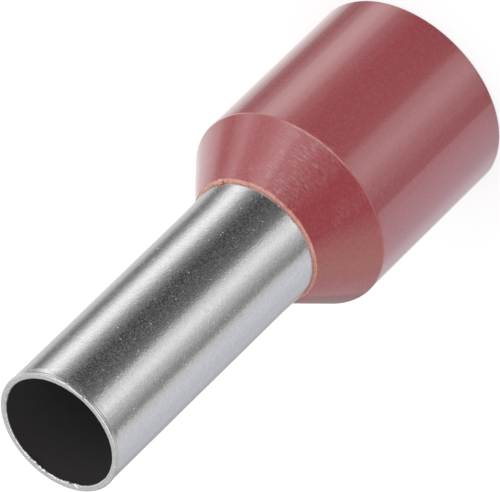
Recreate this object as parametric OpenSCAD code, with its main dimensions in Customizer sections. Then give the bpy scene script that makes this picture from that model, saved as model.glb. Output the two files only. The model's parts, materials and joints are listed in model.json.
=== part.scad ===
// Insulated wire ferrule for a 10 mm2 stranded conductor.
// A thin tinned copper sleeve is held by a moulded plastic collar. The inner end
// of the sleeve is flared, and the collar is moulded round the flare, so that the
// bare strands slide down one smooth funnel into the sleeve.
// The ferrule stands on the rim of its wire entry, with its axis on +Z.

/* [Sleeve] */
// Inside diameter of the copper sleeve
sleeve_bore = 4.5; // [3:0.1:5.4]
// Wall of the copper sleeve
sleeve_wall = 0.22; // [0.15:0.01:0.28]
// Length of bare sleeve beyond the collar
sleeve_length = 12; // [8:0.5:18]
// Rounding on the sheared edges of the sleeve
cut_radius = 0.05; // [0.02:0.01:0.07]

/* [Flare] */
// Length of the flared end, down its slope
flare_length = 0.9; // [0.4:0.05:1.1]
// Radius of the bend where the tube turns into the flare
bend_radius = 0.7; // [0.3:0.05:1]

/* [Collar] */
// Outside diameter of the plastic collar
collar_diameter = 8.1; // [7.6:0.1:10]
// Length of the whole collar
collar_length = 9.6; // [7:0.1:16]
// Wall round the insulated wire
collar_wall = 0.4; // [0.25:0.05:0.5]
// Length of the sloping shoulder
shoulder_length = 2.15; // [1.8:0.05:3]
// Wall between the shoulder's slope and the flare
shoulder_wall = 0.37; // [0.3:0.01:0.5]
// Width of the flat lip that closes round the sleeve
lip_width = 0.16; // [0.12:0.01:0.3]

/* [Edges of the collar] */
// Rounding of the ridge between shoulder and barrel
ridge_radius = 0.2; // [0.05:0.05:0.4]
// Rounding inside, where the wire entry turns into the funnel
funnel_radius = 0.5; // [0.1:0.1:0.8]
// Rounding on both edges of the wire entry's rim
rim_radius = 0.1; // [0.04:0.01:0.12]

/* [Fit] */
// Gap between sleeve and collar, which is none where the plastic shrinks on
grip_gap = 0; // [0:0.005:0.02]

/* [Hidden] */
$fn = 96;

sleeve_r = sleeve_bore / 2 + sleeve_wall;
lip_r = sleeve_r + lip_width;
collar_r = collar_diameter / 2;
entry_r = collar_r - collar_wall;
mouth_z = collar_length + sleeve_length;

// The shoulder, the flare and the funnel all lie at this angle to the axis.
slope = atan2(collar_r - lip_r, shoulder_length);

// Height at which a line down the slope, this deep under the shoulder, has come
// to the radius r.
function slope_z(depth, r) =
    collar_length - (depth + (r - lip_r) * cos(slope)) / sin(slope);

// Centre of the bend. It lies in the plastic, outside the tube.
bend_at = [
    sleeve_r + bend_radius,
    slope_z(shoulder_wall, sleeve_r) + bend_radius * tan(slope / 2)
];

// The end of a wall of this width that comes down to the x axis: two corners
// rounded below it.
module rounded_end(width, radius) {
    translate([radius, -radius])
    square([width - 2 * radius, 2 * radius]);
    for (x = [radius, width - radius])
        translate([x, 0])
        circle(radius);
}

// A straight wall, drawn down from the centre of the bend. It lies to the left
// of that centre, between a near and a far distance from it.
module straight_wall(near, far, length) {
    translate([-far, -length + cut_radius]) {
        square([far - near, length - cut_radius]);
        rounded_end(far - near, cut_radius);
    }
}

// The curved wall that joins the tube to its flare.
module bent_wall(near, far) {
    intersection() {
        difference() {
            circle(far);
            circle(near);
        }
        translate([-2 * far, -2 * far])
        square(2 * far);
        rotate(slope)
        translate([-2 * far, 0])
        square(2 * far);
    }
}

// Half section of a flared tube: straight up to the mouth, round the bend, and
// down the slope.
module flared_wall(near, far, flare) {
    translate(bend_at) {
        mirror([0, 1])
        straight_wall(near, far, mouth_z - bend_at[1]);
        bent_wall(near, far);
        rotate(slope)
        straight_wall(near, far, flare);
    }
}

// Half section of a plug: a barrel of radius r and a shoulder that slopes in, this
// deep under the collar's own shoulder. The ridge between them is rounded.
module shouldered_plug(r, depth, rounding) {
    past_axis = 3 * r;
    centre = [r - rounding, slope_z(depth, r) - rounding * tan(slope / 2)];
    square([r, centre[1]]);
    translate(centre) {
        circle(rounding);
        rotate(slope)
        translate([rounding - past_axis, 0])
        square([past_axis, mouth_z]);
    }
}

// Tinned copper tube, cut square at the mouth and flared at the other end.
module sleeve() {
    color("silver")
    rotate_extrude()
    flared_wall(bend_radius, bend_radius + sleeve_wall, flare_length);
}

// Moulded collar: a barrel for the insulated wire, a sloping shoulder, and a neck
// that grips the sleeve. A pocket holds the flare flush with the funnel.
module collar() {
    past_axis = 2 * bend_at[0];
    color("indianred")
    rotate_extrude()
    union() {
        difference() {
            intersection() {
                translate([0, rim_radius])
                square([collar_r, collar_length - rim_radius]);
                shouldered_plug(collar_r, 0, ridge_radius);
            }
            shouldered_plug(entry_r, shoulder_wall + sleeve_wall, funnel_radius);
            flared_wall(bend_radius - grip_gap, past_axis, flare_length + grip_gap);
        }
        translate([entry_r, rim_radius])
        rounded_end(collar_wall, rim_radius);
    }
}

sleeve();
collar();
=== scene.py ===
# %% [markdown]
# # An insulated wire ferrule
# A ferrule is slipped over the bare strands of a wire and crimped, so that a screw
# terminal can't splay them. It has two pieces: a thin sleeve of tinned copper, and a
# plastic collar moulded round the sleeve's flared end.
# The frame below is the exact CAD model. It says how big each piece is and where it
# is, and this script gives those pieces the looks of the real ones.

# %% Load the frame
import json
import math

import bpy
import numpy as np
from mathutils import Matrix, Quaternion, Vector


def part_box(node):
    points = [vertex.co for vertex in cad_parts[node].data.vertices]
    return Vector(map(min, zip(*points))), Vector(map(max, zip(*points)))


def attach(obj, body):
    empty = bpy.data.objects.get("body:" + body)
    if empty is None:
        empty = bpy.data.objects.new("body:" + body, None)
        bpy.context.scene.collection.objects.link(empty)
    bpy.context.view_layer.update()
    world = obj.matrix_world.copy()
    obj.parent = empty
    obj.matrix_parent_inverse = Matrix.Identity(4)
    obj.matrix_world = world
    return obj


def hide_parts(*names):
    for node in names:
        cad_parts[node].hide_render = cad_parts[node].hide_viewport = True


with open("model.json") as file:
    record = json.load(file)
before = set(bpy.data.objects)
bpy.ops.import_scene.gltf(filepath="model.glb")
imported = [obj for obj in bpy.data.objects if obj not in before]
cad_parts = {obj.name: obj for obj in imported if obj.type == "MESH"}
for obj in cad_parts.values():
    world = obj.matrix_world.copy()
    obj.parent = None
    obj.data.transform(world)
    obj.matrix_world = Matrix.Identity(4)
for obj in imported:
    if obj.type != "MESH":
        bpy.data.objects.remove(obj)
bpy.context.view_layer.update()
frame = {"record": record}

MM = 0.001

# %% [markdown]
# ## The sizes that the looks need
# Lengths along the axis come from the boxes of the CAD pieces, and radii from the
# mounts, which are the places where wire and terminal meet the ferrule. A few sizes
# of the section that neither of them gives are written down here.

# %% Sizes from the frame
def mount_radius(name):
    """The radius in metres of one of the record's mounts."""
    mount = next(m for m in frame["record"]["mounts"] if m["name"] == name)
    return mount["dims"]["r_mm"] * MM


mouth_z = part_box("sleeve")[1].z
lip_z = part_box("collar")[1].z
collar_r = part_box("collar")[1].x
sleeve_r = mount_radius("terminal_end")
bore_r = mount_radius("strand_bore")
entry_r = mount_radius("insulation_entry")
sleeve_wall = sleeve_r - bore_r
print("sleeve radius", round(sleeve_r / MM, 2), "mm, collar radius", round(collar_r / MM, 2), "mm")

# %% Sizes of the section
lip_width = 0.16 * MM
shoulder_length = 2.15 * MM
shoulder_wall = 0.37 * MM
bend_radius = 0.7 * MM
flare_length = 0.9 * MM
ridge_radius = 0.2 * MM
funnel_radius = 0.5 * MM
rim_radius = 0.1 * MM
cut_radius = 0.05 * MM
neck_swell = 0.04 * MM
neck_length = 1.2 * MM
neck_blend = 20 * MM
neck_depth = 0.1 * MM
lip_fall = 0.04 * MM
lip_edge_radius = 0.02 * MM

lip_r = sleeve_r + lip_width
ridge_z = lip_z - shoulder_length
slope = math.atan2(collar_r - lip_r, shoulder_length)
down_slope = Vector((math.sin(slope), -math.cos(slope)))
across_slope = Vector((-math.cos(slope), -math.sin(slope)))
print("the shoulder slopes", round(math.degrees(slope), 1), "degrees from the axis")


def under_shoulder(depth, r):
    """The point at radius r on a line that runs down the slope, this deep in the collar."""
    return Vector((r, lip_z - (depth + (r - lip_r) * math.cos(slope)) / math.sin(slope)))

# %% [markdown]
# ## One half section, turned round the axis
# Both pieces are turned shapes, so each needs only a half section: a closed outline
# of radius and height. A real edge is never sharp, and the bright line along it is
# what tells the eye that it is there. So each corner is given with its radius and is
# drawn as an arc. The straight runs get short steps near their ends and long ones in
# the middle, which keeps the shading of a long wall flat right up to its corner.

# %% Outline helpers
ARC_STEPS = 5
FIRST_STEP = 0.01 * MM
STEP_GROWTH = 2.5


def rounded_corner(before, corner, after, radius):
    """Points along the arc that rounds one corner of an outline."""
    if radius == 0:
        return [corner]
    u, v = (before - corner).normalized(), (after - corner).normalized()
    half = u.angle(v) / 2
    centre = corner + (u + v).normalized() * radius / math.sin(half)
    start = corner + u * radius / math.tan(half) - centre
    end = corner + v * radius / math.tan(half) - centre
    turn = math.atan2(start.x * end.y - start.y * end.x, start.dot(end))
    arc = []
    for step in range(ARC_STEPS + 1):
        s, c = math.sin(turn * step / ARC_STEPS), math.cos(turn * step / ARC_STEPS)
        arc.append(centre + Vector((start.x * c - start.y * s, start.x * s + start.y * c)))
    return arc


def graded_run(a, b, longest):
    """Points between a and b, close together near both ends."""
    length = (b - a).length
    ends, reach, step = [], FIRST_STEP, FIRST_STEP
    while reach < length / 2 and step < longest:
        ends.append(reach)
        step *= STEP_GROWTH
        reach += step
    if not ends:
        return []
    middle = length - 2 * ends[-1]
    count = max(1, math.ceil(middle / longest))
    inner = [ends[-1] + middle * k / count for k in range(1, count)]
    distances = ends + inner + [length - d for d in reversed(ends)]
    return [a.lerp(b, d / length) for d in distances]


def outline(corners, longest):
    """A closed outline from (point, corner radius) pairs."""
    arcs = []
    for i, (corner, radius) in enumerate(corners):
        arcs.append(rounded_corner(corners[i - 1][0], corner, corners[(i + 1) % len(corners)][0], radius))
    points = []
    for arc, after in zip(arcs, arcs[1:] + arcs[:1]):
        points += arc + graded_run(arc[-1], after[0], longest)
    return points + points[:1]

# %% [markdown]
# The sleeve is cut from tube with a shear, which rolls its outer edge into a small
# bead with a shallow groove behind it. The other end is flared, and the collar is
# moulded round the flare, so the two sections share the lines where they meet. The
# tube swells a little where it comes out of the lip, as the plastic has shrunk on it.

# %% Section of the sleeve
bead = 0.02 * MM
bead_length = 0.09 * MM
bead_blend = 0.03 * MM
groove_place = 0.15 * MM
groove_blend = 0.05 * MM
groove_end = 0.35 * MM
tube_blend = 0.2 * MM

outer_bend = under_shoulder(shoulder_wall, sleeve_r)
inner_bend = under_shoulder(shoulder_wall + sleeve_wall, bore_r)
flare_edge = outer_bend + down_slope * (bend_radius * math.tan(slope / 2) + flare_length)
sleeve_section = outline(
    [
        (Vector((bore_r, mouth_z)), cut_radius),
        (Vector((sleeve_r + bead, mouth_z)), cut_radius),
        (Vector((sleeve_r + bead, mouth_z - bead_length)), bead_blend),
        (Vector((sleeve_r - bead, mouth_z - groove_place)), groove_blend),
        (Vector((sleeve_r, mouth_z - groove_end)), tube_blend),
        (Vector((sleeve_r, lip_z + neck_length)), neck_blend),
        (Vector((sleeve_r + neck_swell, lip_z)), 0),
        (Vector((sleeve_r, lip_z - neck_depth)), 0),
        (outer_bend, bend_radius),
        (flare_edge, cut_radius),
        (flare_edge + across_slope * sleeve_wall, cut_radius),
        (inner_bend, bend_radius + sleeve_wall),
    ],
    longest=0.5 * MM,
)
print("the sleeve's section has", len(sleeve_section), "points")

# %% Section of the collar
collar_section = outline(
    [
        (Vector((sleeve_r + neck_swell, lip_z)), 0),
        (Vector((lip_r, lip_z - lip_fall)), lip_edge_radius),
        (Vector((collar_r, ridge_z)), ridge_radius),
        (Vector((collar_r, 0)), rim_radius),
        (Vector((entry_r, 0)), rim_radius),
        (under_shoulder(shoulder_wall + sleeve_wall, entry_r), funnel_radius),
        (flare_edge + across_slope * sleeve_wall, 0),
        (flare_edge, 0),
        (outer_bend, bend_radius),
        (Vector((sleeve_r, lip_z - neck_depth)), 0),
    ],
    longest=0.4 * MM,
)
print("the collar's section has", len(collar_section), "points")

# %% [markdown]
# ## Node helpers
# Trees are quicker to read when each node is one line: its kind, its settings, and
# what goes into its sockets. A plain value is set, and another node's output is linked.

# %% Add nodes to a tree
def put(tree, kind, sockets=None, **settings):
    """Adds a node and returns it. sockets gives an input's name or number and what goes in."""
    made = tree.nodes.new(kind)
    for name, value in settings.items():
        setattr(made, name, value)
    for key, value in (sockets or {}).items():
        if isinstance(value, bpy.types.NodeSocket):
            tree.links.new(value, made.inputs[key])
        else:
            made.inputs[key].default_value = value
    return made


def calc(tree, operation, *values, clamp=False):
    """A Math node's result."""
    made = put(tree, "ShaderNodeMath", dict(enumerate(values)), operation=operation, use_clamp=clamp)
    return made.outputs[0]


def product(tree, a, b):
    """The product of two values."""
    return calc(tree, "MULTIPLY", a, b)


def total(tree, *parts):
    """The sum of some values."""
    result = parts[0]
    for part in parts[1:]:
        result = calc(tree, "ADD", result, part)
    return result


def scaled(tree, vector, size):
    """A vector made longer or shorter."""
    return put(tree, "ShaderNodeVectorMath", {0: vector, "Scale": size}, operation="SCALE").outputs[0]


def added(tree, a, b):
    """The sum of two vectors."""
    return put(tree, "ShaderNodeVectorMath", {0: a, 1: b}, operation="ADD").outputs[0]


def straight_up(tree, length):
    """A vector of this length along the axis."""
    return put(tree, "ShaderNodeCombineXYZ", {"Z": length}).outputs[0]


def turned_by(tree, vector, angle):
    """A vector turned round the axis."""
    made = put(tree, "ShaderNodeVectorRotate", {"Vector": vector, "Angle": angle}, rotation_type="Z_AXIS")
    return made.outputs[0]


def ranged(tree, value, low, high, to_low=0.0, to_high=1.0, smooth=False):
    """A value carried from one range to another."""
    kind = "SMOOTHSTEP" if smooth else "LINEAR"
    ends = {0: value, 1: low, 2: high, 3: to_low, 4: to_high}
    return put(tree, "ShaderNodeMapRange", ends, interpolation_type=kind).outputs[0]


def mixed(tree, factor, a, b):
    """Two colours mixed by a factor, which may be a value or another node's output."""
    return put(tree, "ShaderNodeMix", {0: factor, 6: a, 7: b}, data_type="RGBA").outputs[2]


def add_sockets(tree, direction, sockets):
    """Gives a tree its named inputs or outputs, each as (name, kind) or (name, kind, default)."""
    for name, kind, *default in sockets:
        made = tree.interface.new_socket(name, in_out=direction, socket_type="NodeSocket" + kind)
        if default:
            made.default_value = default[0]

# %% [markdown]
# ## A lathe made of Geometry Nodes
# The tree takes a half section and turns it. A grid has one row for each point of the
# section and one column for each step round the axis, and each of its points looks
# up its own place. The last row and column fall on the first ones and are merged.
# What a perfect lathe would miss is added on the way: a slight waviness, and a ragged
# edge where the tube was sheared or the plastic was squeezed out of its mould.

# %% Build the lathe
def turn_section(tree, given):
    """Lays a grid over the turned section, and finds each point's place and its way out from the axis."""
    columns = calc(tree, "ADD", given["Steps Round"], 1)
    rows = put(tree, "GeometryNodeAttributeDomainSize", {"Geometry": given["Section"]}).outputs["Point Count"]
    grid = put(tree, "GeometryNodeMeshGrid", {"Vertices X": rows, "Vertices Y": columns}).outputs[0]
    index = put(tree, "GeometryNodeInputIndex").outputs[0]
    row = calc(tree, "FLOOR", calc(tree, "DIVIDE", calc(tree, "ADD", index, 0.5), columns))
    column = calc(tree, "SUBTRACT", index, product(tree, row, columns))
    turn = product(tree, calc(tree, "DIVIDE", column, given["Steps Round"]), 2 * math.pi)
    position = put(tree, "GeometryNodeInputPosition").outputs[0]
    wanted = {"Geometry": given["Section"], "Index": row}
    in_section = put(tree, "GeometryNodeSampleIndex", wanted, data_type="FLOAT_VECTOR")
    tree.links.new(position, in_section.inputs["Value"])
    flat = in_section.outputs[0]
    place = turned_by(tree, flat, turn)
    outward = turned_by(tree, (1, 0, 0), turn)
    return grid, flat, place, outward, turn


def waviness(tree, given, flat, outward):
    """A push in or out that is the same for both faces of a wall, because it reads only angle and height."""
    height = put(tree, "ShaderNodeSeparateXYZ", {0: flat}).outputs["Z"]
    wall = added(tree, straight_up(tree, height), scaled(tree, outward, sleeve_r))
    at = scaled(tree, wall, calc(tree, "DIVIDE", 1, given["Wave Size"]))
    noise = put(tree, "ShaderNodeTexNoise", {"Vector": at, "Scale": 1.0, "Detail": 1.0}).outputs[0]
    push = product(tree, calc(tree, "SUBTRACT", noise, 0.5), given["Waviness"])
    return scaled(tree, outward, push)


EDGE_CORE = 0.6


def near_edge(tree, given, flat, radius):
    """How near each point is to an edge of this radius: 1 in the core of its reach, and 0 past its end."""
    ring = put(tree, "ShaderNodeCombineXYZ", {"X": radius, "Z": given["Edge Level"]}).outputs[0]
    gap = put(tree, "ShaderNodeVectorMath", {0: flat, 1: ring}, operation="DISTANCE").outputs["Value"]
    core = product(tree, given["Edge Reach"], EDGE_CORE)
    return ranged(tree, gap, core, given["Edge Reach"], 1.0, 0.0)


def ragged_edge(tree, given, flat, place, outward, turn):
    """How much of a ragged edge each point has, and the push that its burrs give."""
    towards = calc(tree, "COSINE", calc(tree, "SUBTRACT", turn, given["Worst Angle"]))
    radius = calc(tree, "ADD", given["Edge Radius"], product(tree, towards, given["Edge Drift"]))
    edge = near_edge(tree, given, flat, radius)
    patches = put(
        tree, "ShaderNodeTexNoise", {"Vector": outward, "W": given["Seed"], "Scale": 2.5, "Detail": 2.0},
        noise_dimensions="4D",
    ).outputs[0]
    patches = ranged(tree, patches, 0.42, 0.55, 0.4, 1.0)
    patches = product(tree, patches, ranged(tree, towards, 0.8, 0.97, 0.18, 1.0, smooth=True))
    at = scaled(tree, place, calc(tree, "DIVIDE", 1, given["Burr Size"]))
    noise = put(tree, "ShaderNodeTexNoise", {"Vector": at, "Scale": 1.0, "Detail": 2.0, "Roughness": 0.6})
    parts = put(tree, "ShaderNodeSeparateXYZ", {0: noise.outputs["Color"]}).outputs
    amount = product(tree, edge, patches)
    inward = product(tree, calc(tree, "SUBTRACT", 0.3, parts["X"]), given["Burr Inward"])
    upward = product(tree, calc(tree, "SUBTRACT", parts["Y"], 0.5), given["Burr Upward"])
    up = straight_up(tree, product(tree, upward, amount))
    return edge, added(tree, scaled(tree, outward, product(tree, inward, amount)), up)


TAB_ROUNDING = 0.4


def flash_tab(tree, given, flat, outward, turn):
    """A tab that stands up from the edge at one place, and may lean outwards."""
    edge = near_edge(tree, given, flat, given["Tab Radius"])
    off = calc(tree, "ABSOLUTE", calc(tree, "SUBTRACT", turn, given["Tab Angle"]))
    shape = calc(tree, "SUBTRACT", 1, calc(tree, "DIVIDE", off, given["Tab Width"]), clamp=True)
    height = product(tree, edge, given["Tab Height"])
    lift = product(tree, calc(tree, "POWER", shape, TAB_ROUNDING), height)
    lean = product(tree, lift, given["Tab Lean"])
    return added(tree, straight_up(tree, lift), scaled(tree, outward, lean))


def build_lathe():
    tree = bpy.data.node_groups.new("lathe", "GeometryNodeTree")
    add_sockets(tree, "INPUT", [
        ("Section", "Geometry"), ("Steps Round", "Int", 540),
        ("Waviness", "Float", 0.0), ("Wave Size", "Float", 4 * MM),
        ("Edge Radius", "Float", 0.0), ("Edge Drift", "Float", 0.0), ("Edge Level", "Float", 0.0),
        ("Edge Reach", "Float", 0.1 * MM), ("Worst Angle", "Float", 0.0),
        ("Burr Inward", "Float", 0.0), ("Burr Upward", "Float", 0.0), ("Burr Size", "Float", 0.1 * MM),
        ("Tab Angle", "Float", 0.0), ("Tab Width", "Float", 0.1), ("Tab Height", "Float", 0.0),
        ("Tab Radius", "Float", 0.0), ("Tab Lean", "Float", 0.0),
        ("Seed", "Float", 0.0), ("Finish", "Material"),
    ])
    add_sockets(tree, "OUTPUT", [("Piece", "Geometry")])
    given = put(tree, "NodeGroupInput").outputs
    grid, flat, place, outward, turn = turn_section(tree, given)
    edge, burrs = ragged_edge(tree, given, flat, place, outward, turn)
    tab = flash_tab(tree, given, flat, outward, turn)
    push = added(tree, waviness(tree, given, flat, outward), added(tree, burrs, tab))
    marked = put(tree, "GeometryNodeStoreNamedAttribute", {"Geometry": grid, "Name": "edge"}, domain="POINT")
    tree.links.new(edge, marked.inputs["Value"])
    moves = {"Geometry": marked.outputs[0], "Position": place, "Offset": push}
    moved = put(tree, "GeometryNodeSetPosition", moves)
    closed = put(tree, "GeometryNodeMergeByDistance", {"Geometry": moved.outputs[0], "Distance": 0.0005 * MM})
    smooth = put(tree, "GeometryNodeSetShadeSmooth", {"Geometry": closed.outputs[0]})
    real = put(tree, "GeometryNodeRealizeInstances", {"Geometry": smooth.outputs[0]})
    done = put(tree, "GeometryNodeSetMaterial", {"Geometry": real.outputs[0], "Material": given["Finish"]})
    put(tree, "NodeGroupOutput", {"Piece": done.outputs[0]})
    return tree


lathe = build_lathe()
print("the lathe has", len(lathe.nodes), "nodes")

# %% Turn a section into a plain mesh
def turned_piece(name, section, finish, **sizes):
    """A piece turned on the lathe. sizes are the lathe's inputs, with _ for a space."""
    mesh = bpy.data.meshes.new(name)
    mesh.from_pydata([(p.x, 0, p.y) for p in section], [(i, i + 1) for i in range(len(section) - 1)], [])
    piece = bpy.data.objects.new(name, mesh)
    bpy.context.scene.collection.objects.link(piece)
    modifier = piece.modifiers.new("lathe", "NODES")
    modifier.node_group = lathe
    inputs = {s.name: s.identifier for s in lathe.interface.items_tree if s.in_out == "INPUT"}
    for label, value in {"Finish": finish, **sizes}.items():
        modifier[inputs[label.replace("_", " ")]] = value
    evaluated = piece.evaluated_get(bpy.context.evaluated_depsgraph_get())
    piece.data = bpy.data.meshes.new_from_object(evaluated)
    piece.modifiers.clear()
    piece.data.name = name
    return piece


def volume(piece):
    """Signed volume in cubic mm. It is positive if the faces point outwards."""
    piece.data.calc_loop_triangles()
    points = np.array([v.co for v in piece.data.vertices]) / MM
    a, b, c = (points[[t.vertices[k] for t in piece.data.loop_triangles]] for k in range(3))
    return float(np.einsum("ij,ij->", a, np.cross(b, c)) / 6)

# %% [markdown]
# ## Effects that both materials share
# Both pieces carry fine strokes that follow their turned surface, and both have a fine
# grain with specks. So each effect is one node group that both materials use.

# %% Marks that follow the turned surface
def build_turned_marks():
    """Noise in strokes. Round is how many strokes fit in a radian, and Along how many fit in a mm."""
    tree = bpy.data.node_groups.new("turned_marks", "ShaderNodeTree")
    add_sockets(tree, "INPUT", [("Vector", "Vector"), ("Round", "Float", 1.0), ("Along", "Float", 1.0)])
    add_sockets(tree, "OUTPUT", [("Marks", "Float")])
    given = put(tree, "NodeGroupInput").outputs
    parts = put(tree, "ShaderNodeSeparateXYZ", {0: given["Vector"]}).outputs
    flat = put(tree, "ShaderNodeCombineXYZ", {"X": parts["X"], "Y": parts["Y"]}).outputs[0]
    radius = put(tree, "ShaderNodeVectorMath", {0: flat}, operation="LENGTH").outputs["Value"]
    unit = put(tree, "ShaderNodeVectorMath", {0: flat}, operation="NORMALIZE").outputs[0]
    run = calc(tree, "DIVIDE", calc(tree, "SUBTRACT", parts["Z"], radius), MM)
    lift = straight_up(tree, product(tree, run, given["Along"]))
    at = added(tree, scaled(tree, unit, given["Round"]), lift)
    noise = put(tree, "ShaderNodeTexNoise", {"Vector": at, "Scale": 1.0, "Detail": 2.0, "Roughness": 0.6})
    put(tree, "NodeGroupOutput", {"Marks": noise.outputs[0]})
    return tree


turned_marks = build_turned_marks()
print("the turned marks have", len(turned_marks.nodes), "nodes")

# %% Grain and specks
def build_fine_grain():
    """Fine noise, and specks scattered over it. Sizes are in mm."""
    tree = bpy.data.node_groups.new("fine_grain", "ShaderNodeTree")
    add_sockets(tree, "INPUT", [
        ("Vector", "Vector"), ("Size", "Float", 0.1),
        ("Speck Size", "Float", 0.1), ("Speck Spacing", "Float", 0.4),
    ])
    add_sockets(tree, "OUTPUT", [("Grain", "Float"), ("Specks", "Float")])
    given = put(tree, "NodeGroupInput").outputs
    in_mm = scaled(tree, given["Vector"], 1 / MM)
    grains_per_mm = calc(tree, "DIVIDE", 1, given["Size"])
    grain = put(tree, "ShaderNodeTexNoise", {"Vector": in_mm, "Scale": grains_per_mm, "Detail": 2.0})
    specks_per_mm = calc(tree, "DIVIDE", 1, given["Speck Spacing"])
    cells = put(tree, "ShaderNodeTexVoronoi", {"Vector": in_mm, "Scale": specks_per_mm})
    chance = put(tree, "ShaderNodeSeparateXYZ", {0: cells.outputs["Color"]}).outputs[0]
    largest = product(tree, given["Speck Size"], specks_per_mm)
    radius = product(tree, calc(tree, "POWER", chance, 2), largest)
    specks = calc(tree, "SUBTRACT", 1, calc(tree, "DIVIDE", cells.outputs["Distance"], radius), clamp=True)
    put(tree, "NodeGroupOutput", {"Grain": grain.outputs[0], "Specks": specks})
    return tree


fine_grain = build_fine_grain()
print("the fine grain has", len(fine_grain.nodes), "nodes")

# %% Place on the turned surface
def build_turned_place():
    """Distance from the axis, height, and how far the surface is turned towards a given bearing."""
    tree = bpy.data.node_groups.new("turned_place", "ShaderNodeTree")
    add_sockets(tree, "INPUT", [("Vector", "Vector"), ("Bearing", "Float", 0.0)])
    add_sockets(tree, "OUTPUT", [("Radius", "Float"), ("Height", "Float"), ("Facing", "Float")])
    given = put(tree, "NodeGroupInput").outputs
    parts = put(tree, "ShaderNodeSeparateXYZ", {0: given["Vector"]}).outputs
    flat = put(tree, "ShaderNodeCombineXYZ", {"X": parts["X"], "Y": parts["Y"]}).outputs[0]
    radius = put(tree, "ShaderNodeVectorMath", {0: flat}, operation="LENGTH").outputs["Value"]
    x_share = product(tree, parts["X"], calc(tree, "SINE", given["Bearing"]))
    y_share = product(tree, parts["Y"], calc(tree, "COSINE", given["Bearing"]))
    facing = calc(tree, "DIVIDE", calc(tree, "SUBTRACT", x_share, y_share), radius)
    put(tree, "NodeGroupOutput", {"Radius": radius, "Height": parts["Z"], "Facing": facing})
    return tree


turned_place = build_turned_place()
print("the turned place has", len(turned_place.nodes), "nodes")

# %% Material helpers
def effect(tree, group, **values):
    """Places an effect in a material, fed with the object's own coordinates."""
    made = put(tree, "ShaderNodeGroup", node_tree=group)
    tree.links.new(put(tree, "ShaderNodeTexCoord").outputs["Object"], made.inputs["Vector"])
    for name, value in values.items():
        made.inputs[name.replace("_", " ")].default_value = value
    return made.outputs


def new_material(name):
    """A material with an empty tree, its Principled shader, and that shader linked to the output."""
    material = bpy.data.materials.new(name)
    material.use_nodes = True
    tree = material.node_tree
    tree.nodes.clear()
    shader = put(tree, "ShaderNodeBsdfPrincipled")
    put(tree, "ShaderNodeOutputMaterial", {"Surface": shader.outputs[0]})
    return material, tree, shader


def colour(red, green, blue):
    """A colour as it looks on screen, from 0 to 255, as the linear values that shaders need."""
    screen = (c / 255 for c in (red, green, blue))
    return (*(c / 12.92 if c <= 0.04045 else ((c + 0.055) / 1.055) ** 2.4 for c in screen), 1)

# %% [markdown]
# ## Tin plate
# The tube is plated, which leaves a satin skin with a fine grain, short strokes from
# the tumbling drum, and a few specks. The plate is metal, so its colour is in its
# reflections, and a thin haze dulls it in fine grains. The bore is painted dark as
# painted shade, darkest at the mouth, and it is also made less metallic and rougher.

# %% Make the tin plate
RIM_DEPTH = 0.06 * MM
BORE_FADE = 4 * MM
BUMP_DEPTH = 0.003 * MM


def make_tin():
    material, tree, shader = new_material("tin_plate")
    strokes = effect(tree, turned_marks, Round=14, Along=9)["Marks"]
    grain = effect(tree, fine_grain, Size=0.07, Speck_Size=0.05, Speck_Spacing=0.17)
    coarse = effect(tree, fine_grain, Size=0.16)["Grain"]
    place = effect(tree, turned_place)
    haze = effect(tree, fine_grain, Size=0.06)["Grain"]
    behind_rim = ranged(tree, place["Height"], mouth_z - RIM_DEPTH, mouth_z - RIM_DEPTH / 2, 1.0, 0.0)
    in_bore = calc(tree, "LESS_THAN", place["Radius"], bore_r + sleeve_wall / 2)
    inside = product(tree, in_bore, behind_rim)

    bright = ranged(tree, total(tree, grain["Grain"], strokes), 0.8, 1.2)
    skin = mixed(tree, bright, colour(225, 224, 225), colour(236, 235, 236))
    # painted shade: below the rim the bore is painted dark, darkest at the mouth and a little lighter deeper
    # in
    deep = ranged(tree, place["Height"], mouth_z - BORE_FADE, mouth_z, 1.0, 0.0)
    painted_bore_shade = mixed(tree, deep, colour(69, 66, 67), colour(112, 109, 110))
    tree.links.new(mixed(tree, inside, skin, painted_bore_shade), shader.inputs["Base Color"])

    dulled = ranged(tree, haze, 0.46, 0.62, 0.985, 0.885)
    metal = calc(tree, "SUBTRACT", dulled, product(tree, grain["Specks"], 0.5))
    metal = calc(tree, "SUBTRACT", metal, product(tree, inside, 0.65))
    tree.links.new(metal, shader.inputs["Metallic"])
    satin = ranged(tree, coarse, 0.35, 0.65, 0.15, 0.2)
    tree.links.new(total(tree, satin, product(tree, inside, 0.3)), shader.inputs["Roughness"])

    height = total(
        tree, product(tree, strokes, 0.8), product(tree, grain["Grain"], 1.2),
        product(tree, coarse, 0.7), product(tree, grain["Specks"], 1.6),
    )
    height = product(tree, height, ranged(tree, behind_rim, 0, 1, 2.0, 1.0))
    bump = put(tree, "ShaderNodeBump", {"Height": height, "Distance": BUMP_DEPTH, "Strength": 1.0})
    tree.links.new(bump.outputs[0], shader.inputs["Normal"])
    shader.inputs["Specular Tint"].default_value = (0.72, 0.72, 0.72, 1)
    return material


tin = make_tin()
print(tin.name, "has", len(tin.node_tree.nodes), "nodes")
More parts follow.
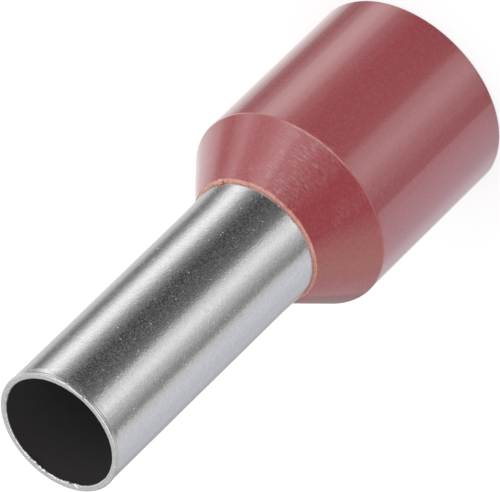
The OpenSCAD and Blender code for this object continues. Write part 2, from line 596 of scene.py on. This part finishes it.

# %% [markdown]
# ## Red polyamide
# The collar is glossy nylon of a dusty red. Where it was handled, its shoulder is
# scuffed with fine rings. A pale painted highlight runs along its ridge, and its barrel
# is painted a little paler than its shoulder, as painted light. At the lip, the
# moulding thins to a film of flash, which light passes through, so it looks salmon
# pink, and the seam against the tube is darkened with painted shade.

# %% Wear on the shoulder, and a painted highlight on its ridge
def shoulder_wear_and_ridge_highlight(tree, place, rings, patches):
    """Where the shoulder is, where it is scuffed and where its ridge has a painted highlight, each from 0 to
    1.
    """
    shoulder = ranged(tree, place["Height"], ridge_z - 0.3 * MM, ridge_z)
    in_front = ranged(tree, place["Facing"], 0.93, 0.98, smooth=True)
    rubbed = calc(tree, "MAXIMUM", in_front, ranged(tree, patches, 0.5, 0.62, 0, 0.6))
    scuffs = product(tree, ranged(tree, rings, 0.52, 0.65), product(tree, shoulder, rubbed))
    off_ridge = calc(tree, "ABSOLUTE", calc(tree, "SUBTRACT", place["Height"], ridge_z))
    on_ridge = ranged(tree, off_ridge, 0.02 * MM, 0.06 * MM, 1.0, 0.0)
    ridge_highlight = product(tree, on_ridge, ranged(tree, place["Facing"], 0.9, 0.985, 0.1, 1.0))
    return shoulder, scuffs, ridge_highlight

# %% Colour of the flash, and painted shade in its seam
def flash_and_seam_shade(tree, place, rings, patches):
    """Salmon pink with red streaks, and painted shade in the seam against the tube."""
    flash = mixed(tree, patches, colour(222, 150, 122), colour(222, 160, 146))
    flash = mixed(tree, ranged(tree, rings, 0.36, 0.6, 0.75, 0.0), flash, colour(186, 88, 76))
    tube_r = sleeve_r + neck_swell
    # painted shade: the seam against the tube is painted darker, most strongly on the front, at a bearing of
    # 14 degrees
    seam = ranged(tree, place["Radius"], tube_r + 0.01 * MM, tube_r + 0.05 * MM, 1.0, 0.0)
    seam = product(tree, seam, ranged(tree, place["Facing"], 0.95, 0.99, 0.25, 0.9))
    return mixed(tree, seam, flash, colour(130, 72, 64))

# %% Make the red plastic
def make_nylon():
    material, tree, shader = new_material("red_polyamide")
    rings = effect(tree, turned_marks, Round=13, Along=22)["Marks"]
    patches = effect(tree, turned_marks, Round=3, Along=0.5)["Marks"]
    grain = effect(tree, fine_grain, Size=0.13, Speck_Size=0.07, Speck_Spacing=0.7)
    place = effect(tree, turned_place, Bearing=math.radians(14))
    edge = put(tree, "ShaderNodeAttribute", attribute_name="edge").outputs["Fac"]
    shoulder, scuffs, ridge_highlight = shoulder_wear_and_ridge_highlight(tree, place, rings, patches)

    body = mixed(tree, ranged(tree, grain["Grain"], 0.3, 0.7), colour(160, 63, 70), colour(170, 73, 80))
    # painted light: the barrel below the shoulder is painted a little paler than the shoulder
    body = mixed(tree, ranged(tree, shoulder, 0, 1, 0.07, 0.0), body, colour(190, 150, 155))
    body = mixed(tree, product(tree, scuffs, 0.52), body, colour(205, 150, 154))
    # painted highlight: a pale line is painted along the ridge, strongest on the front, at a bearing of 14
    # degrees
    body = mixed(tree, product(tree, ridge_highlight, 0.4), body, colour(222, 160, 160))
    body = mixed(tree, product(tree, grain["Specks"], 0.5), body, colour(205, 150, 150))
    frayed = ranged(tree, total(tree, edge, rings), 0.7, 1.0)
    body = mixed(tree, frayed, body, flash_and_seam_shade(tree, place, rings, patches))
    chip = ranged(tree, place["Height"], lip_z + 0.03 * MM, lip_z + 0.06 * MM)
    body = mixed(tree, chip, body, colour(206, 122, 76))
    tree.links.new(body, shader.inputs["Base Color"])

    gloss = ranged(tree, grain["Grain"], 0.3, 0.7, 0.24, 0.3)
    tree.links.new(total(tree, gloss, product(tree, scuffs, 0.15)), shader.inputs["Roughness"])
    height = total(
        tree, product(tree, scuffs, 2), product(tree, grain["Grain"], 0.4), grain["Specks"],
    )
    bump = put(tree, "ShaderNodeBump", {"Height": height, "Distance": BUMP_DEPTH, "Strength": 1.0})
    tree.links.new(bump.outputs[0], shader.inputs["Normal"])
    shader.inputs["Specular IOR Level"].default_value = 0.5
    shader.inputs["Coat Weight"].default_value = 1.0
    shader.inputs["Coat IOR"].default_value = 1.95
    shader.inputs["Coat Roughness"].default_value = 0.05
    return material


nylon = make_nylon()
print(nylon.name, "has", len(nylon.node_tree.nodes), "nodes")

# %% [markdown]
# ## The two pieces
# Each is turned from its section, takes the place of its CAD node, and rides on the
# ferrule's one body.

# %% Turn the sleeve
sleeve = turned_piece(
    "tinned_sleeve", sleeve_section, tin, Waviness=0.02 * MM, Wave_Size=4 * MM,
    Edge_Radius=bore_r + cut_radius, Edge_Level=mouth_z, Edge_Reach=0.11 * MM,
    Burr_Inward=0.3 * MM, Burr_Upward=0.13 * MM, Burr_Size=0.075 * MM,
    Worst_Angle=math.radians(115), Seed=3.0,
    Tab_Angle=math.radians(285), Tab_Width=0.16, Tab_Height=0.07 * MM, Tab_Radius=sleeve_r, Tab_Lean=0.6,
)
print("sleeve:", round(volume(sleeve), 1), "mm3,", len(sleeve.data.polygons), "faces")
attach(sleeve, "root")
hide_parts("sleeve")

# %% Turn the collar
collar = turned_piece(
    "red_collar", collar_section, nylon, Waviness=0.02 * MM, Wave_Size=4 * MM,
    Edge_Radius=lip_r - 0.1 * MM, Edge_Drift=0.08 * MM, Edge_Level=lip_z, Edge_Reach=0.1 * MM,
    Burr_Upward=0.12 * MM, Burr_Size=0.12 * MM, Worst_Angle=math.radians(280), Seed=1.0,
    Tab_Angle=math.radians(336), Tab_Width=0.05, Tab_Height=0.14 * MM, Tab_Radius=lip_r - 0.05 * MM,
)
print("collar:", round(volume(collar), 1), "mm3,", len(collar.data.polygons), "faces")
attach(collar, "root")
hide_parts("collar")

# %% [markdown]
# ## The studio
# Bright metal shows what is round it, so a product studio rings it with cards: white
# ones make the bright bands along the tube, and the dark gaps between them give it
# its depth. There is a low ring and a high one, set card by card until the
# bands came right, and finer than a real studio would trouble to make them. A dark
# card lies underneath and a bright one hangs on top. A long card in front draws the
# bright line along the collar's ridge, and one more bright one and a dark one light and
# shade the two sides of its shoulder. Only gloss sees the cards. Everything else is lit
# by an even, soft white.

# %% Cards round the object
COOL = (0.95, 0.965, 1.04)
WARM = (1.1, 0.95, 0.85)
OLIVE = (0.86, 1.03, 0.84)
LOW_CARDS = [
    (-180, 1.05), (-169, 0.86), (-160, 0.63), (-152, 0.64), (-142, 0.74, COOL), (-120, 0.67, COOL),
    (-90, 0.72, COOL), (-72, 0.62), (-70, 0.62, WARM), (-69, 0.24), (-58, 0.25), (-46, 0.47), (-24, 0.94),
    (-10, 0.70), (1, 0.16), (14, 0.09), (44, 0.04), (54, 0.12), (66, 0.31), (78, 0.87), (88, 1.16),
    (98, 0.98), (108, 0.42), (119, 0.17), (129, 0.24), (138, 0.68), (148, 0.87), (164, 0.98), (180, 1.05),
]
HIGH_CARDS = [
    (-180, 0.60), (-150, 0.42), (-126, 0.48), (-104, 0.58, OLIVE), (-80, 0.50, OLIVE), (-66, 0.28),
    (-54, 0.07), (-20, 0.03), (-6, 0.04), (5, 0.10), (16, 0.26), (28, 0.57), (42, 0.62), (51, 1.12),
    (60, 0.98), (72, 0.64), (81, 0.48), (90, 0.62), (98, 0.95), (106, 0.66), (115, 0.30), (121, 0.40),
    (131, 0.80), (145, 0.92), (180, 0.60),
]
RING_SEAM = (-0.45, -0.15)
UNDER_LEVEL = (-0.95, -0.8)
TOP_LEVEL = (0.76, 0.88)
UNDER_GREY = 0.28
TOP_GREY = 1.25
ROOM_GREY = 0.92


def grey_tone(tone):
    """A grey as the colour that sockets take."""
    return (tone, tone, tone, 1)


def card_ring(tree, factor, cards):
    """A ring of cards, each as its bearing from the camera in degrees, its grey and its tint."""
    ramp = put(tree, "ShaderNodeValToRGB", {0: factor})
    ramp.color_ramp.interpolation = "EASE"
    stops = ramp.color_ramp.elements
    stops.remove(stops[1])
    for number, (bearing, grey, *tint) in enumerate(cards):
        stop = stops[0] if number == 0 else stops.new(1.0)
        stop.position = (bearing + 180) / 360
        stop.color = (*(grey * t for t in (tint[0] if tint else (1, 1, 1))), 1)
    return ramp.outputs[0]


CARD_BLUR = 0.15


def long_card(tree, cards, look_z, bearing, height, depth, middle, spread, grey):
    """Adds a long card to the rings, at this height and spread round this bearing in radians."""
    off = calc(tree, "ABSOLUTE", calc(tree, "SUBTRACT", look_z, height))
    level = ranged(tree, off, depth / 2, depth, 1.0, 0.0, smooth=True)
    aside = calc(tree, "ABSOLUTE", calc(tree, "SUBTRACT", bearing, middle))
    ahead = ranged(tree, aside, spread - CARD_BLUR, spread + CARD_BLUR, 1.0, 0.0, smooth=True)
    return mixed(tree, product(tree, level, ahead), cards, grey_tone(grey))


LONG_CARDS = [
    dict(height=-0.08, depth=0.12, middle=0, spread=1.15, grey=1.1),
    dict(height=-0.38, depth=0.12, middle=2.2, spread=0.3, grey=2.2),
    dict(height=-0.42, depth=0.2, middle=-2.85, spread=0.35, grey=0.3),
]


def build_studio():
    world = bpy.data.worlds.new("studio")
    bpy.context.scene.world = world
    world.use_nodes = True
    world.cycles.sampling_method = "NONE"
    tree = world.node_tree
    tree.nodes.clear()
    look = put(tree, "ShaderNodeTexCoord").outputs["Generated"]
    parts = put(tree, "ShaderNodeSeparateXYZ", {0: look}).outputs
    bearing = calc(tree, "ARCTAN2", parts["X"], product(tree, parts["Y"], -1))
    factor = ranged(tree, bearing, -math.pi, math.pi)
    high = ranged(tree, parts["Z"], *RING_SEAM, smooth=True)
    cards = mixed(tree, high, card_ring(tree, factor, LOW_CARDS), card_ring(tree, factor, HIGH_CARDS))
    below = ranged(tree, parts["Z"], *UNDER_LEVEL, 1.0, 0.0, smooth=True)
    cards = mixed(tree, below, cards, grey_tone(UNDER_GREY))
    above = ranged(tree, parts["Z"], *TOP_LEVEL, smooth=True)
    cards = mixed(tree, above, cards, grey_tone(TOP_GREY))
    for card in LONG_CARDS:
        cards = long_card(tree, cards, parts["Z"], bearing, **card)
    ray = put(tree, "ShaderNodeLightPath").outputs
    light = mixed(tree, ray["Is Glossy Ray"], grey_tone(ROOM_GREY), cards)
    light = mixed(tree, ray["Is Camera Ray"], light, grey_tone(1))
    background = put(tree, "ShaderNodeBackground", {"Color": light})
    put(tree, "ShaderNodeOutputWorld", {"Surface": background.outputs[0]})


build_studio()
print("the studio has", len(LOW_CARDS), "low,", len(HIGH_CARDS), "high and", len(LONG_CARDS), "long cards")

# %% [markdown]
# ## The floor and the lamp
# A sheet of white paper lies under the ferrule and takes its faint shadow. Gloss looks
# straight through it, or it would fill the lower half of each reflection with white.
# It glows a little to the camera, so that it is as white as the room behind it. A
# weak, wide lamp from the right adds the soft side light.

# %% Floor
FLOOR_HALF = 0.6
PAPER_TONE = 0.75
PAPER_TONE_TO_CAMERA = 0.36
PAPER_GLOW = 0.72


def make_floor():
    h = FLOOR_HALF
    mesh = bpy.data.meshes.new("floor")
    mesh.from_pydata([(-h, -h, 0), (h, -h, 0), (h, h, 0), (-h, h, 0)], [], [(0, 1, 2, 3)])
    floor = bpy.data.objects.new("floor", mesh)
    bpy.context.scene.collection.objects.link(floor)
    material = bpy.data.materials.new("white_paper")
    material.use_nodes = True
    tree = material.node_tree
    tree.nodes.clear()
    ray = put(tree, "ShaderNodeLightPath").outputs
    tone = mixed(tree, ray["Is Camera Ray"], grey_tone(PAPER_TONE), grey_tone(PAPER_TONE_TO_CAMERA))
    paper = put(tree, "ShaderNodeBsdfDiffuse", {"Color": tone}).outputs[0]
    strength = product(tree, ray["Is Camera Ray"], PAPER_GLOW)
    glow = put(tree, "ShaderNodeEmission", {"Strength": strength}).outputs[0]
    clear = put(tree, "ShaderNodeBsdfTransparent").outputs[0]
    seen = put(tree, "ShaderNodeAddShader", {0: paper, 1: glow}).outputs[0]
    seen = put(tree, "ShaderNodeMixShader", {0: ray["Is Glossy Ray"], 1: seen, 2: clear}).outputs[0]
    put(tree, "ShaderNodeOutputMaterial", {"Surface": seen})
    mesh.materials.append(material)


make_floor()
print("the floor is", 2 * FLOOR_HALF, "m wide")

# %% Lamp
def add_soft_lamp(bearing, elevation, distance, size, watts):
    data = bpy.data.lights.new("soft_lamp", "AREA")
    data.size = size
    data.energy = watts
    lamp = bpy.data.objects.new("soft_lamp", data)
    level = math.cos(elevation)
    way = Vector((math.sin(bearing) * level, -math.cos(bearing) * level, math.sin(elevation)))
    lamp.location = way * distance
    lamp.rotation_mode = "QUATERNION"
    lamp.rotation_quaternion = (-way).to_track_quat("-Z", "Y")
    lamp.visible_glossy = False
    bpy.context.scene.collection.objects.link(lamp)


add_soft_lamp(bearing=math.radians(60), elevation=math.radians(15), distance=0.4, size=0.5, watts=0.5)
print("the soft lamp stands to the right of the camera")

# %% [markdown]
# ## The camera
# The ferrule stands on its collar. The camera looks down on it from a long way off
# and is rolled over, so that the mouth comes to the lower left. mouth_in_view is where
# the mouth is, seen from the camera: to its left, below it, and far in front of it.

# %% Place the camera
elevation = math.radians(37.75)
roll = math.radians(-134.16)
back = Vector((0, -math.cos(elevation), math.sin(elevation)))
turned = (-back).to_track_quat("-Z", "Y") @ Quaternion((0, 0, 1), roll)
mouth_in_view = Vector((-6.64, -6.48, -381.6)) * MM
camera_data = bpy.data.cameras.new("camera")
camera_data.sensor_width = 36
camera_data.lens = 792
camera = bpy.data.objects.new("camera", camera_data)
camera.location = Vector((0, 0, mouth_z)) - turned @ mouth_in_view
camera.rotation_mode = "QUATERNION"
camera.rotation_quaternion = turned
bpy.context.scene.collection.objects.link(camera)
bpy.context.scene.camera = camera
bpy.context.scene.view_settings.view_transform = "Standard"
print("the camera is", round(camera.location.length / MM), "mm from the ferrule's foot")
